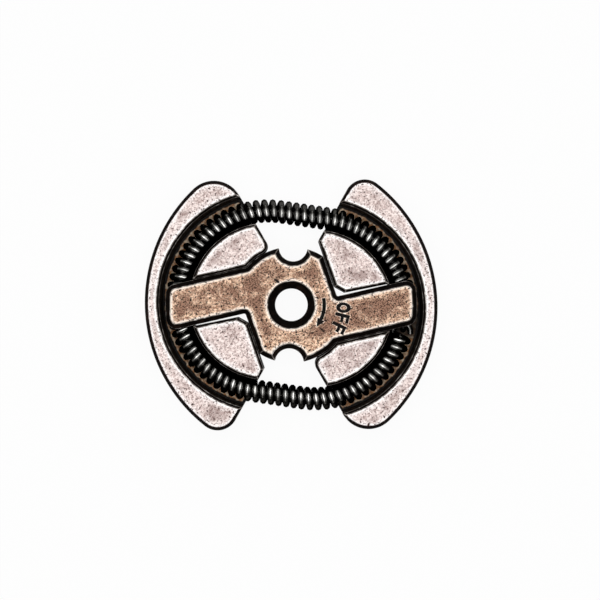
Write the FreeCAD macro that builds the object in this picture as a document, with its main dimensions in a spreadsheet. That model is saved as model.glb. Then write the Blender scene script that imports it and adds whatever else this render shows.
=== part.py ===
"""Two-shoe centrifugal clutch of a small chainsaw.

A screw-on hub with two offset arms carries two sliding friction shoes. One coil spring, hooked
end to end into a loop, lies in a groove round both shoes and holds them in at idle.

Millimetres. The origin is on the bore axis at the back face, +Z points out of the marked face,
and the shoes slide along X, the right one towards +X and the left one towards -X.
"""

import FreeCAD
import Part
import Sketcher

import math
import os

Vector = FreeCAD.Vector

# Every driving size, in millimetres or degrees: name, value, what it is.
SIZES = [
    ("thickness", 11.5, "hub and shoes, from the back face to the marked face"),
    ("hub_radius", 12.23, "round middle of the hub"),
    ("hub_chamfer", 1.0, "broken edge of the hub's marked face"),
    ("flat_distance", 9.7, "bore axis to each flat of the hub"),
    ("flat_angle", 6.3, "turn of the flats from the slide direction"),
    ("arm_offset", 5.12, "centre line of each arm from the bore axis"),
    ("arm_width", 9.36, "width of each arm"),
    ("arm_reach", 26.5, "radius of the arms' round ends"),
    ("arm_corner", 2.2, "corner radius at the arms' ends"),
    ("arm_root", 0.4, "radius where an arm meets the round middle"),
    ("notch_radius", 3.05, "half-round notches for the removal tool"),
    ("notch_angle", 75.1, "direction of the notches from the slide direction"),
    ("bore_diameter", 7.0, "minor diameter of the left-hand thread"),
    ("bore_mouth", 10.0, "countersink at the marked face"),
    ("bore_back_chamfer", 0.7, "broken edge of the bore at the back"),
    ("back_chamfer", 0.5, "broken edges of the back faces"),
    ("friction_radius", 33.0, "outer face of the shoes, as turned to the drum"),
    ("shoe_travel", 2.26, "slide of each shoe from idle to the drum"),
    ("shoe_half_angle", 60.2, "half the sector that a shoe fills"),
    ("shoe_skew", 12.6, "turn of a shoe's middle from the slide direction"),
    ("shoe_chamfer", 0.55, "broken edges of the shoes' marked faces"),
    ("leading_tip", 4.3, "rounded tip of a shoe on the flat side of the hub"),
    ("trailing_tip", 6.2, "rounded tip of a shoe on the round side of the hub"),
    ("pad_corner", 1.7, "cut corner of the pad beside the hub's flat"),
    ("pad_round", 1.8, "rounded corner of the pad beside the hub's round side"),
    ("idle_gap", 0.2, "room between the hub and the pads at idle"),
    ("arm_clearance", 0.12, "room on each side of an arm in its slot"),
    ("slot_lean", 1.65, "lean of the slot's side by the hub's flat, away from the arm"),
    ("groove_forward", 6.9, "spring groove's centre from the shoe's, along the slide"),
    ("groove_drop", 1.82, "spring groove's centre from the shoe's, across the slide"),
    ("groove_inner", 16.5, "inner wall of the spring groove"),
    ("groove_outer", 22.85, "outer wall of the spring groove"),
    ("web_thickness", 2.0, "floor under the spring groove"),
    ("wire_diameter", 1.3, "spring wire"),
    ("coil_diameter", 5.1, "outside of the spring's coils"),
    ("spring_turns", 83, "whole turns of the spring between its hooks"),
    ("spring_wall_gap", 0.25, "room between the coils and the groove's inner wall"),
    ("spring_floor_gap", 0.2, "room between the coils and the groove's floor"),
    ("spring_arm_gap", 0.3, "room between the coils and the arm above them"),
    ("hook_bend", 0.7, "straight lead of each spring hook"),
    ("hook_gap", 0.2, "room between the two hooks where they cross"),
    ("seam_angle", 30.0, "where the spring's hooked joint starts, below the slide axis"),
]

COIL_STEPS = 7
WIRE_SIDES = 5
HOOK_STEPS = 4

doc = FreeCAD.newDocument("clutch")
sheet = doc.addObject("Spreadsheet::Sheet", "sizes")
for row, (alias, value, note) in enumerate(SIZES, start=1):
    sheet.set("A%d" % row, note)
    sheet.set("B%d" % row, str(value))
    sheet.setAlias("B%d" % row, alias)
doc.recompute()


def size(alias):
    """The number that the sheet holds under this name."""
    return float(sheet.get(alias))


def bind(obj, prop, formula):
    """Ties a property to a formula in the sheet's names, each written as [name]."""
    obj.setExpression(prop, formula.replace("[", "sizes.").replace("]", ""))


def worth(formula):
    """The number that such a formula gives."""
    total = 0.0
    for term in formula.replace(" - ", " + -").split(" + "):
        sign = -1.0 if term.startswith("-") else 1.0
        name, _, divisor = term.lstrip("-").partition(" / ")
        total += sign * size(name.strip("[]")) / (float(divisor) if divisor else 1.0)
    return total


ARM_TOP = "[arm_offset] - [arm_width] / 2"
ARM_BOTTOM = "[arm_offset] + [arm_width] / 2"
SLOT_TOP = ARM_TOP + " - [arm_clearance]"
SLOT_BOTTOM = ARM_BOTTOM + " + [arm_clearance]"
FLAT_REACH = "[flat_distance] + [idle_gap]"
ARM_UNDERSIDE = "[web_thickness] + [spring_floor_gap] + [coil_diameter] + [spring_arm_gap]"
LIP_START = "[thickness] - [shoe_chamfer]"
LIP_END = "[thickness] + [shoe_chamfer]"
LIP_OUTER = "[groove_outer] + [shoe_chamfer] + [shoe_chamfer]"
LIP_INNER = "[groove_inner] - [shoe_chamfer] - [shoe_chamfer]"


class Outline:
    """A sketch on one of a body's planes whose dimensions follow the sheet."""

    def __init__(self, body, name, role="XY_Plane", lift=None, turn=None, shift=None):
        plane = next(f for f in body.Origin.OriginFeatures if f.Role == role)
        self.sketch = body.newObject("Sketcher::SketchObject", name)
        self.sketch.AttachmentSupport = [(plane, "")]
        self.sketch.MapMode = "FlatFace"
        if lift:
            bind(self.sketch, "AttachmentOffset.Base.z", lift)
        if shift:
            bind(self.sketch, "AttachmentOffset.Base.x", shift)
        if turn:
            bind(self.sketch, "AttachmentOffset.Rotation.Angle", turn)

    def rule(self, *terms):
        """A constraint with no dimension."""
        self.sketch.addConstraint(Sketcher.Constraint(*terms))

    def dimension(self, name, formula, *terms, unit=1.0):
        """A constraint whose value follows the sheet."""
        index = self.sketch.addConstraint(Sketcher.Constraint(*terms, worth(formula) * unit))
        self.sketch.renameConstraint(index, name)
        bind(self.sketch, "Constraints." + name, formula)

    def line(self, start, end):
        """A straight edge between two points of the sketch."""
        segment = Part.LineSegment(Vector(*start, 0), Vector(*end, 0))
        return self.sketch.addGeometry(segment, False)

    def arc(self, centre, radius, start, end):
        """An anticlockwise arc, with its angles in radians."""
        circle = Part.Circle(Vector(*centre, 0), Vector(0, 0, 1), radius)
        return self.sketch.addGeometry(Part.ArcOfCircle(circle, start, end), False)

    def circle(self, centre, radius):
        """A full circle."""
        return self.sketch.addGeometry(Part.Circle(Vector(*centre, 0), Vector(0, 0, 1), radius), False)

    def chain(self, *edges):
        """Joins the end of each edge to the start of the next, round the outline."""
        for first, second in zip(edges, edges[1:] + edges[:1]):
            self.rule("Coincident", first, 2, second, 1)

    def box(self, left, right, bottom, top):
        """A rectangle by how far its left and bottom lie before the origin, its right and top past it."""
        x0, x1, y0, y1 = -worth(left), worth(right), -worth(bottom), worth(top)
        low = self.line((x0, y0), (x1, y0))
        east = self.line((x1, y0), (x1, y1))
        high = self.line((x1, y1), (x0, y1))
        west = self.line((x0, y1), (x0, y0))
        self.chain(low, east, high, west)
        for level in (low, high):
            self.rule("Horizontal", level)
        for upright in (east, west):
            self.rule("Vertical", upright)
        self.dimension("left", left, "DistanceX", low, 1, -1, 1)
        self.dimension("right", right, "DistanceX", -1, 1, east, 1)
        self.dimension("bottom", bottom, "DistanceY", low, 1, -1, 1)
        self.dimension("top", top, "DistanceY", -1, 1, high, 1)


def pad(body, name, outline, height):
    """A solid of the given height on an outline."""
    feature = body.newObject("PartDesign::Pad", name)
    feature.Profile = outline.sketch
    bind(feature, "Length", height)
    doc.recompute()
    return feature


def pocket(body, name, outline, depth=None):
    """A cut upwards from an outline, right through where no depth is given."""
    before = body.Tip.Shape.Volume
    feature = body.newObject("PartDesign::Pocket", name)
    feature.Profile = outline.sketch
    feature.Reversed = True
    if depth:
        bind(feature, "Length", depth)
    else:
        feature.Type = "ThroughAll"
    doc.recompute()
    if feature.Shape.Volume >= before:
        raise RuntimeError(name + " cuts nothing")
    return feature


def paired(body, name, *features):
    """The same features once more, half a turn round the bore axis."""
    axis = next(f for f in body.Origin.OriginFeatures if f.Role == "Z_Axis")
    pattern = body.newObject("PartDesign::PolarPattern", name)
    pattern.Originals = list(features)
    pattern.Axis = (axis, [""])
    pattern.Angle = 360
    pattern.Occurrences = 2
    body.Tip = pattern
    doc.recompute()
    return pattern


def dress(body, kind, name, value, wanted):
    """A chamfer or fillet on the edges of the body that are wanted."""
    base = body.Tip
    edges = ["Edge%d" % i for i, e in enumerate(base.Shape.Edges, start=1) if wanted(e)]
    feature = body.newObject("PartDesign::" + kind, name)
    feature.Base = (base, edges)
    bind(feature, "Radius" if kind == "Fillet" else "Size", value)
    doc.recompute()
    return feature


def level_at(height):
    """Tells the edges that lie flat at one height."""

    def wanted(edge):
        box = edge.BoundBox
        return abs(box.ZMin - height) < 1e-4 and abs(box.ZMax - height) < 1e-4

    return wanted


def upright_at(*places):
    """Tells the upright edges that stand at any of these points."""

    def wanted(edge):
        box = edge.BoundBox
        upright = box.ZLength > 0.1 and max(box.XLength, box.YLength) < 1e-4
        return upright and any(math.hypot(box.XMin - x, box.YMin - y) < 0.02 for x, y in places)

    return wanted


def both_ways(*places):
    """The points, and each of them half a turn round the bore axis."""
    return [(turn * x, turn * y) for x, y in places for turn in (1, -1)]


def build_hub():
    """The screw-on hub: a flatted disc with two offset arms, notches and a threaded bore."""
    body = doc.addObject("PartDesign::Body", "hub")
    radius, reach = size("hub_radius"), size("arm_reach")
    top, bottom = -worth(ARM_TOP), -worth(ARM_BOTTOM)

    disc = Outline(body, "disc_outline")
    ring = disc.circle((0, 0), radius)
    disc.rule("Coincident", ring, 3, -1, 1)
    disc.dimension("radius", "[hub_radius]", "Radius", ring)
    pad(body, "disc", disc, "[thickness]")

    flat = Outline(body, "flat_outline", turn="[flat_angle]")
    flat.box("-[flat_distance]", "[hub_radius] + [idle_gap]", "[hub_radius]", "[hub_radius]")
    paired(body, "flats", pocket(body, "flat", flat))

    arm = Outline(body, "arm_outline")
    corner_low = (math.sqrt(reach**2 - bottom**2), bottom)
    corner_high = (math.sqrt(reach**2 - top**2), top)
    low = arm.line((0, bottom), corner_low)
    end = arm.arc((0, 0), reach, math.asin(bottom / reach), math.asin(top / reach))
    high = arm.line(corner_high, (0, top))
    root = arm.line((0, top), (0, bottom))
    arm.chain(low, end, high, root)
    arm.rule("Horizontal", low)
    arm.rule("Horizontal", high)
    arm.rule("PointOnObject", root, 1, -2)
    arm.rule("Vertical", root)
    arm.rule("Coincident", end, 3, -1, 1)
    arm.dimension("reach", "[arm_reach]", "Radius", end)
    arm.dimension("upper", ARM_TOP, "DistanceY", high, 2, -1, 1)
    arm.dimension("lower", ARM_BOTTOM, "DistanceY", low, 1, -1, 1)
    bar = pad(body, "arm", arm, "[thickness]")

    # The outer part of each arm is thinned from the back, so that the spring passes under it.
    step = Outline(body, "spring_step_outline")
    centre = (worth("[groove_forward] - [shoe_travel]"), -size("groove_drop"))
    inner = worth("[groove_inner] - [arm_clearance]")
    width = size("friction_radius")
    start = math.asin((bottom - size("arm_clearance") - centre[1]) / inner)
    stop = math.asin((top + size("arm_clearance") - centre[1]) / inner)
    low_in = (centre[0] + inner * math.cos(start), centre[1] + inner * math.sin(start))
    high_in = (centre[0] + inner * math.cos(stop), centre[1] + inner * math.sin(stop))
    curve = step.arc(centre, inner, start, stop)
    low = step.line(low_in, (width, low_in[1]))
    east = step.line((width, low_in[1]), (width, high_in[1]))
    high = step.line((width, high_in[1]), high_in)
    step.rule("Coincident", curve, 1, low, 1)
    step.rule("Coincident", low, 2, east, 1)
    step.rule("Coincident", east, 2, high, 1)
    step.rule("Coincident", high, 2, curve, 2)
    step.rule("Horizontal", low)
    step.rule("Vertical", east)
    step.rule("Horizontal", high)
    step.dimension("forward", "[groove_forward] - [shoe_travel]", "DistanceX", -1, 1, curve, 3)
    step.dimension("drop", "[groove_drop]", "DistanceY", curve, 3, -1, 1)
    step.dimension("inner", "[groove_inner] - [arm_clearance]", "Radius", curve)
    step.dimension("far", "[friction_radius]", "DistanceX", -1, 1, low, 2)
    step.dimension("upper", SLOT_TOP, "DistanceY", high, 1, -1, 1)
    step.dimension("lower", SLOT_BOTTOM, "DistanceY", low, 1, -1, 1)
    paired(body, "arms", bar, pocket(body, "spring_step", step, ARM_UNDERSIDE))

    notch = Outline(body, "notch_outline", turn="[notch_angle]")
    bite = notch.circle((radius, 0), size("notch_radius"))
    notch.rule("PointOnObject", bite, 3, -1)
    notch.dimension("out", "[hub_radius]", "DistanceX", -1, 1, bite, 3)
    notch.dimension("radius", "[notch_radius]", "Radius", bite)
    paired(body, "notches", pocket(body, "notch", notch))

    slant = math.radians(size("flat_angle"))
    flat_foot = ((size("flat_distance") - top * math.sin(slant)) / math.cos(slant), top)
    disc_foot = (math.sqrt(radius**2 - bottom**2), bottom)
    roots = both_ways(flat_foot, disc_foot)
    dress(body, "Fillet", "arm_roots", "[arm_root]", upright_at(*roots))
    ends = both_ways(corner_low, corner_high)
    dress(body, "Fillet", "arm_corners", "[arm_corner]", upright_at(*ends))
    dress(body, "Chamfer", "marked_edge", "[hub_chamfer]", level_at(size("thickness")))
    dress(body, "Chamfer", "back_edge", "[back_chamfer]", level_at(0.0))

    bore = Outline(body, "bore_outline", lift="[thickness]")
    ring = bore.circle((0, 0), size("bore_diameter") / 2)
    bore.rule("Coincident", ring, 3, -1, 1)
    bore.dimension("diameter", "[bore_diameter]", "Diameter", ring)
    doc.recompute()
    hole = body.newObject("PartDesign::Hole", "bore")
    hole.Profile = bore.sketch
    hole.DepthType = "ThroughAll"
    hole.HoleCutType = "Countersink"
    hole.HoleCutCountersinkAngle = 90.0
    bind(hole, "Diameter", "[bore_diameter]")
    bind(hole, "HoleCutDiameter", "[bore_mouth]")
    doc.recompute()

    def back_mouth(edge):
        box = edge.BoundBox
        return level_at(0.0)(edge) and box.Center.Length < 1e-4 and box.XLength < size("bore_mouth")

    dress(body, "Chamfer", "bore_back_edge", "[bore_back_chamfer]", back_mouth)
    return body


def build_shoe(name, side):
    """One friction shoe about the centre of its own friction face, then set at idle.

    The side is 1 for the shoe that slides towards +X and -1 for its twin, turned half round.
    """
    body = doc.addObject("PartDesign::Body", name)
    friction, travel = size("friction_radius"), size("shoe_travel")
    half, skew = math.radians(size("shoe_half_angle")), math.radians(size("shoe_skew"))
    centre = (size("groove_forward"), -size("groove_drop"))
    inner, outer = size("groove_inner"), size("groove_outer")
    top, bottom = -worth(SLOT_TOP), -worth(SLOT_BOTTOM)
    chord = -size("arm_offset")

    sector = Outline(body, "sector_outline", turn="-[shoe_skew]")
    high = (friction * math.cos(half), friction * math.sin(half))
    low = (high[0], -high[1])
    lower = sector.line((0, 0), low)
    rim = sector.arc((0, 0), friction, -half, half)
    upper = sector.line(high, (0, 0))
    sector.chain(lower, rim, upper)
    sector.rule("Coincident", lower, 1, -1, 1)
    sector.rule("Coincident", rim, 3, -1, 1)
    sector.dimension("radius", "[friction_radius]", "Radius", rim)
    degree = math.pi / 180
    sector.dimension("above", "[shoe_half_angle]", "Angle", -1, 1, upper, 2, unit=degree)
    sector.dimension("below", "[shoe_half_angle]", "Angle", lower, 1, -1, 1, unit=degree)
    pad(body, "sector", sector, "[thickness]")

    # One pad ends along the hub's flat, and the other follows the hub's round side.
    flat = Outline(body, "flat_side_outline", turn="[flat_angle]", shift="[shoe_travel]")
    flat.box("[friction_radius]", FLAT_REACH, "[arm_offset]", "[friction_radius]")
    pocket(body, "flat_side", flat)

    hub_room = worth("[hub_radius] + [idle_gap]")
    reach = math.sqrt(hub_room**2 - chord**2)
    tilt = math.asin(-chord / hub_room)
    disc = Outline(body, "round_side_outline")
    bow = disc.arc((travel, 0), hub_room, math.pi + tilt, 2 * math.pi - tilt)
    cord = disc.line((travel + reach, chord), (travel - reach, chord))
    disc.chain(bow, cord)
    disc.rule("Horizontal", cord)
    disc.rule("PointOnObject", bow, 3, -1)
    disc.dimension("axis", "[shoe_travel]", "DistanceX", -1, 1, bow, 3)
    disc.dimension("radius", "[hub_radius] + [idle_gap]", "Radius", bow)
    disc.dimension("chord", "[arm_offset]", "DistanceY", cord, 1, -1, 1)
    pocket(body, "round_side", disc)

    slot = Outline(body, "arm_slot_outline")
    start = math.asin((bottom - centre[1]) / inner)
    stop = math.asin((top - centre[1]) / inner)
    low_out = (centre[0] + inner * math.cos(start), bottom)
    high_out = (centre[0] + inner * math.cos(stop), top)
    lean = math.tan(math.radians(size("slot_lean")))
    high_in = (0, top + high_out[0] * lean)
    lower = slot.line((0, bottom), low_out)
    wall = slot.arc(centre, inner, start, stop)
    upper = slot.line(high_out, high_in)
    mouth = slot.line(high_in, (0, bottom))
    slot.chain(lower, wall, upper, mouth)
    slot.rule("Horizontal", lower)
    slot.rule("PointOnObject", mouth, 1, -2)
    slot.rule("Vertical", mouth)
    slot.dimension("forward", "[groove_forward]", "DistanceX", -1, 1, wall, 3)
    slot.dimension("drop", "[groove_drop]", "DistanceY", wall, 3, -1, 1)
    slot.dimension("inner", "[groove_inner]", "Radius", wall)
    slot.dimension("upper", SLOT_TOP, "DistanceY", upper, 1, -1, 1)
    slot.dimension("lean", "[slot_lean]", "Angle", upper, 2, -1, 1, unit=degree)
    slot.dimension("lower", SLOT_BOTTOM, "DistanceY", lower, 1, -1, 1)
    pocket(body, "arm_slot", slot)

    tips = [
        (friction * math.cos(half - skew), friction * math.sin(half - skew)),
        (friction * math.cos(half + skew), -friction * math.sin(half + skew)),
    ]
    dress(body, "Fillet", "leading_end", "[leading_tip]", upright_at(tips[0]))
    dress(body, "Fillet", "trailing_end", "[trailing_tip]", upright_at(tips[1]))

    slant = math.radians(size("flat_angle"))
    across, rise = math.cos(slant), math.sin(slant)
    corner_x = (worth(FLAT_REACH) + travel * across - high_in[1] * rise) / (across - lean * rise)
    inner_corner = (corner_x, high_in[1] - corner_x * lean)
    dress(body, "Chamfer", "pad_cut", "[pad_corner]", upright_at(inner_corner))
    along = math.cos(half + skew) * travel
    meet = along + math.sqrt(along**2 - travel**2 + hub_room**2)
    round_corner = (meet * math.cos(half + skew), -meet * math.sin(half + skew))
    dress(body, "Fillet", "pad_rounding", "[pad_round]", upright_at(round_corner))

    dress(body, "Chamfer", "marked_edge", "[shoe_chamfer]", level_at(size("thickness")))
    dress(body, "Chamfer", "back_edge", "[back_chamfer]", level_at(0.0))

    # The spring groove is turned round its own centre, with a broken edge at both lips.
    turned = Outline(body, "groove_section", "XZ_Plane", lift="[groove_drop]", shift="[groove_forward]")
    lip_in, lip_out = worth(LIP_INNER), worth(LIP_OUTER)
    floor, lip, over = size("web_thickness"), worth(LIP_START), worth(LIP_END)
    corners = [(inner, floor), (outer, floor), (outer, lip), (lip_out, over), (lip_in, over), (inner, lip)]
    edges = [turned.line(a, b) for a, b in zip(corners, corners[1:] + corners[:1])]
    turned.chain(*edges)
    turned.rule("Horizontal", edges[0])
    turned.rule("Vertical", edges[1])
    turned.rule("Horizontal", edges[3])
    turned.rule("Vertical", edges[5])
    turned.rule("Horizontal", edges[1], 2, edges[5], 1)
    turned.dimension("inner", "[groove_inner]", "DistanceX", -1, 1, edges[0], 1)
    turned.dimension("outer", "[groove_outer]", "DistanceX", -1, 1, edges[0], 2)
    turned.dimension("floor", "[web_thickness]", "DistanceY", -1, 1, edges[0], 1)
    turned.dimension("lip", LIP_START, "DistanceY", -1, 1, edges[1], 2)
    turned.dimension("over", LIP_END, "DistanceY", -1, 1, edges[3], 1)
    turned.dimension("lip_outer", LIP_OUTER, "DistanceX", -1, 1, edges[3], 1)
    turned.dimension("lip_inner", LIP_INNER, "DistanceX", -1, 1, edges[3], 2)
    before = body.Tip.Shape.Volume
    groove = body.newObject("PartDesign::Groove", "spring_groove")
    groove.Profile = turned.sketch
    groove.ReferenceAxis = (turned.sketch, ["V_Axis"])
    groove.Angle = 360
    doc.recompute()
    if groove.Shape.Volume >= before:
        raise RuntimeError("spring_groove cuts nothing")
    turn = FreeCAD.Rotation(Vector(0, 0, 1), 0 if side > 0 else 180)
    body.Placement = FreeCAD.Placement(Vector(0, 0, 0), turn)
    bind(body, "Placement.Base.x", "-[shoe_travel]" if side > 0 else "[shoe_travel]")
    return body


class SpringLoop:
    """The spring's centre line: half circles round both grooves, joined by straight spans."""

    def __init__(self):
        self.centre = Vector(worth("[groove_forward] - [shoe_travel]"), -size("groove_drop"), 0)
        self.radius = size("groove_inner") + size("spring_wall_gap") + size("coil_diameter") / 2
        self.height = size("web_thickness") + size("spring_floor_gap") + size("coil_diameter") / 2
        self.span = 2 * self.centre.Length
        self.heading = math.atan2(self.centre.y, self.centre.x)
        self.half = math.pi * self.radius
        self.length = 2 * (self.half + self.span)

    def place(self, distance):
        """The point, the direction and the outward direction, so far anticlockwise.

        The distance starts where the loop leaves the lower straight span for the right groove.
        """
        distance %= self.length
        side = 1 if distance < self.half + self.span else -1
        distance -= 0 if side > 0 else self.half + self.span
        angle = self.heading - math.pi / 2 + min(distance / self.radius, math.pi)
        outward = Vector(math.cos(angle), math.sin(angle), 0) * side
        ahead = Vector(-outward.y, outward.x, 0)
        point = self.centre * side + outward * self.radius
        point += ahead * max(distance - self.half, 0)
        return point + Vector(0, 0, self.height), ahead, outward

    def along(self, angle):
        """How far round the right groove this direction lies, in radians from +X."""
        return (angle - self.heading + math.pi / 2) * self.radius


def spring_path():
    """The wire's centre line: a right-hand coil round the loop, with a hook at each end."""
    loop = SpringLoop()
    wire, lead = size("wire_diameter"), size("hook_bend")
    coil = size("coil_diameter") / 2 - wire / 2 / math.cos(math.pi / COIL_STEPS)
    up = Vector(0, 0, 1)
    seam = loop.along(-math.radians(size("seam_angle")))
    start = seam + 2 * (lead + coil) - wire - size("hook_gap")
    turns = round(size("spring_turns")) + 3 / 4
    steps = round(turns * COIL_STEPS)
    advance = (seam + loop.length - start) / steps

    def on_coil(step):
        point, _, outward = loop.place(start + step * advance)
        phase = 2 * math.pi * turns * step / steps - math.pi / 2
        return point + outward * (coil * math.cos(phase)) - up * (coil * math.sin(phase))

    def hook(distance, onward, across_up):
        point, ahead, outward = loop.place(distance)
        across = up if across_up else outward * -1
        bend = []
        for i in range(HOOK_STEPS + 1):
            turn = math.pi * i / HOOK_STEPS
            reach = lead + coil * math.sin(turn)
            bend.append(point + ahead * (onward * reach) + across * (coil * math.cos(turn)))
        return bend

    upright_hook = hook(start, -1, True)
    level_hook = hook(seam, 1, False)
    return upright_hook[::-1] + [on_coil(i) for i in range(1, steps)] + level_hook


def wire_solid(path, radius):
    """A wire of many-sided section along straight runs, mitred where they meet."""
    runs = [(b - a).normalize() for a, b in zip(path, path[1:])]
    side = runs[0].cross(Vector(0, 0, 1) if abs(runs[0].z) < 0.9 else Vector(1, 0, 0)).normalize()
    rise = runs[0].cross(side)
    angles = [2 * math.pi * k / WIRE_SIDES for k in range(WIRE_SIDES)]
    ring = [path[0] + (side * math.cos(a) + rise * math.sin(a)) * radius for a in angles]
    rings = [ring]
    for i, run in enumerate(runs):
        normal = run + runs[i + 1] if i + 1 < len(runs) else run
        ring = [p + run * ((path[i + 1] - p).dot(normal) / run.dot(normal)) for p in ring]
        rings.append(ring)
    faces = [Part.Face(Part.makePolygon(end + end[:1])) for end in (rings[0], rings[-1])]
    for near, far in zip(rings, rings[1:]):
        for k in range(WIRE_SIDES):
            after = (k + 1) % WIRE_SIDES
            corners = [near[k], near[after], far[after], far[k], near[k]]
            faces.append(Part.Face(Part.makePolygon(corners)))
    shell = Part.makeShell(faces)
    shell.sewShape()
    solid = Part.makeSolid(shell.Shells[0])
    return solid if solid.Volume > 0 else solid.reversed()


def build_spring():
    """The coil spring, closed into a loop by its two hooks."""
    spring = doc.addObject("Part::Feature", "spring")
    spring.Shape = wire_solid(spring_path(), size("wire_diameter") / 2)
    spring.Placement = FreeCAD.Placement()
    return spring


pieces = [
    build_hub(),
    build_shoe("shoe_right", 1),
    build_shoe("shoe_left", -1),
    build_spring(),
]
doc.recompute()

for obj in doc.Objects:
    if "Invalid" in obj.State or "Error" in obj.State:
        raise RuntimeError(obj.Label + " failed to build")
for piece in pieces:
    if piece.Shape.isNull() or not piece.Shape.isValid() or len(piece.Shape.Solids) != 1:
        raise RuntimeError(piece.Label + " is not one sound solid")

os.makedirs("parts", exist_ok=True)
for piece in pieces:
    piece.Shape.exportStep(os.path.join("parts", piece.Label + ".step"))
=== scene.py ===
"""Blender scene of a small chainsaw's two-shoe centrifugal clutch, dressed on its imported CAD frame."""

import logging
import math
from collections import Counter
from contextlib import contextmanager
from dataclasses import dataclass, field
from enum import IntEnum
from functools import cache
from typing import Any, ClassVar, Iterator

import bpy
from bpy.types import Material, MeshPolygon, Node, NodeSocket as Socket, NodeTree, Object, bpy_prop_collection
from mathutils import Matrix, Vector
from mathutils.kdtree import KDTree


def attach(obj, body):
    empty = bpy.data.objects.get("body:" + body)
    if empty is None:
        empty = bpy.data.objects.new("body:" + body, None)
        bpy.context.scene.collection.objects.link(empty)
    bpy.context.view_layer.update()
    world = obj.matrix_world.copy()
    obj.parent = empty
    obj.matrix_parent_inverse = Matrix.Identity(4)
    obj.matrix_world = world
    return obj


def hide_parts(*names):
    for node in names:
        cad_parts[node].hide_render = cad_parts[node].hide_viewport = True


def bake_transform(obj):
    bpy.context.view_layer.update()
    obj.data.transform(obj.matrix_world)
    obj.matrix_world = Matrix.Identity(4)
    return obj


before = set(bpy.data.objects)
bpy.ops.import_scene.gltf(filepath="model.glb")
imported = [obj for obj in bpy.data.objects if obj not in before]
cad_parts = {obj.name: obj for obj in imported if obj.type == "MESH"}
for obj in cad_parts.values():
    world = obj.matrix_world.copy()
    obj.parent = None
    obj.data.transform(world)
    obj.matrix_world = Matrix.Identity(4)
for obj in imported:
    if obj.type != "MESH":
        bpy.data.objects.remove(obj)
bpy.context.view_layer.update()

LOG = logging.getLogger("clutch")
MM = 0.001
PER_MM = 1000.0
MERGE = 0.001 * MM
FULL_TURN = 2 * math.pi
UP = Vector((0, 0, 1))
WHITE = (1.0, 1.0, 1.0)
PHOTO_TURN = math.radians(13.0)
SLIDE = 2.26 * MM
FRICTION_RADIUS = 33.0 * MM
THICKNESS = 11.5 * MM
GROOVE_CENTRE = Vector((4.64, -1.82, 0)) * MM
# Millimetres from the groove's centre, over which a rim's face begins and the painted shade inside the coils
# ends
RIM_INSIDE = (24.5, 25.1)
COIL_INSIDE = (18.0, 20.5)
# How far out softened edges take their pale finish, partly worn bright and partly a painted glint: on a shoe
# from the groove's centre, on the hub from the bore
SHOE_WEAR_AND_GLINT = RIM_INSIDE[0] * MM
HUB_WEAR_AND_GLINT = 30.0 * MM

Colour = tuple[float, float, float]
Layer = tuple[Socket, Any]


class Zone(IntEnum):
    """The finishes of a sintered piece, in the order of its material slots."""

    FACE = 0
    WALL = 1
    FLOOR = 2
    EDGE = 3
    DRUM = 4


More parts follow.
